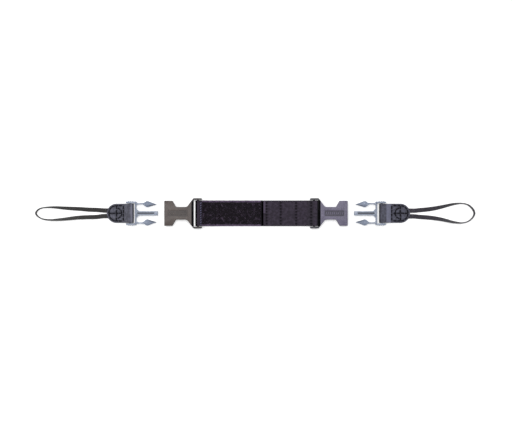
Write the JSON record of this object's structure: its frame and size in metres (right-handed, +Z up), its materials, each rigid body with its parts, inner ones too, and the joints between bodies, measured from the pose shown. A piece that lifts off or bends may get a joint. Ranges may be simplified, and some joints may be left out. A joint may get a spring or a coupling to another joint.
{
  "type": "quick-release accessory strap",
  "caption": "Short webbing strap with a side-release socket at each end and two detachable plugs on sewn tabs with flat tape loops.",
  "frame": {"origin": "on the ground, under the middle of the strap, buckles and tabs (the tape loops are not counted)", "axes": "+X along the strap from the left connector to the right one, +Y across it, +Z up from the surface it lies on"},
  "size_m": [0.4315, 0.0296, 0.008],
  "materials": {
    "strap_webbing": "woven nylon webbing, matt",
    "tab_webbing": "woven nylon webbing, matt",
    "pile": "brushed loop pile",
    "tape": "flat ribbed tape",
    "black_thread": "bonded thread",
    "purple_grey_thread": "bonded thread",
    "socket_plastic": "moulded acetal, fine grain",
    "plug_plastic": "moulded acetal, satin"
  },
  "bodies": {
    "strap": {"strap_webbing": "strap_webbing", "pile_tape": "pile", "tail_stitch_row_1": "black_thread", "tail_stitch_row_2": "black_thread", "tail_stitch_row_3": "black_thread", "tail_stitch_row_4": "black_thread", "pile_stitch_row_1": "black_thread", "pile_stitch_row_2": "black_thread", "pile_stitch_row_3": "black_thread", "pile_stitch_row_4": "black_thread", "edge_zigzag_stitches": "purple_grey_thread"},
    "left_socket": {"left_socket": "socket_plastic"},
    "left_plug": {"left_plug": "plug_plastic"},
    "left_tab": {"left_tab_webbing": "tab_webbing", "left_tab_stitching": "black_thread", "left_tape_loop": "tape"},
    "left_front_arm": {"left_front_arm": "plug_plastic"},
    "left_back_arm": {"left_back_arm": "plug_plastic"},
    "right_socket": {"right_socket": "socket_plastic"},
    "right_plug": {"right_plug": "plug_plastic"},
    "right_tab": {"right_tab_webbing": "tab_webbing", "right_tab_stitching": "black_thread", "right_tape_loop": "tape"},
    "right_front_arm": {"right_front_arm": "plug_plastic"},
    "right_back_arm": {"right_back_arm": "plug_plastic"}
  },
  "joints": [
    {"name": "left_socket_pivot", "type": "hinge", "parent": "strap", "child": "left_socket", "pos_m": [-0.05925, 0, 0.004], "axis": [0, 1, 0], "range_deg": [-90, 90]},
    {"name": "left_plug_slide", "type": "slide", "parent": "left_socket", "child": "left_plug", "axis": [1, 0, 0], "range_m": [0, 0.0274], "deforming": ["left_front_arm", "left_back_arm"]},
    {"name": "left_front_arm_squeeze", "type": "hinge", "parent": "left_plug", "child": "left_front_arm", "pos_m": [-0.1187, -0.0095, 0.004], "axis": [0, 0, 1], "range_deg": [0, 13], "stiffness_Nm_per_rad": 0.25},
    {"name": "left_back_arm_squeeze", "type": "hinge", "parent": "left_plug", "child": "left_back_arm", "pos_m": [-0.1187, 0.0095, 0.004], "axis": [0, 0, -1], "range_deg": [0, 13], "stiffness_Nm_per_rad": 0.25},
    {"name": "left_tab_pivot", "type": "hinge", "parent": "left_plug", "child": "left_tab", "pos_m": [-0.1256, 0, 0.004], "axis": [0, 1, 0], "range_deg": [-80, 80]},
    {"name": "right_socket_pivot", "type": "hinge", "parent": "strap", "child": "right_socket", "pos_m": [0.05455, 0, 0.004], "axis": [0, 1, 0], "range_deg": [-90, 90]},
    {"name": "right_plug_slide", "type": "slide", "parent": "right_socket", "child": "right_plug", "axis": [-1, 0, 0], "range_m": [0, 0.0274], "deforming": ["right_front_arm", "right_back_arm"]},
    {"name": "right_front_arm_squeeze", "type": "hinge", "parent": "right_plug", "child": "right_front_arm", "pos_m": [0.114, -0.0095, 0.004], "axis": [0, 0, -1], "range_deg": [0, 13], "stiffness_Nm_per_rad": 0.25},
    {"name": "right_back_arm_squeeze", "type": "hinge", "parent": "right_plug", "child": "right_back_arm", "pos_m": [0.114, 0.0095, 0.004], "axis": [0, 0, 1], "range_deg": [0, 13], "stiffness_Nm_per_rad": 0.25},
    {"name": "right_tab_pivot", "type": "hinge", "parent": "right_plug", "child": "right_tab", "pos_m": [0.1209, 0, 0.004], "axis": [0, 1, 0], "range_deg": [-80, 80]}
  ]
}
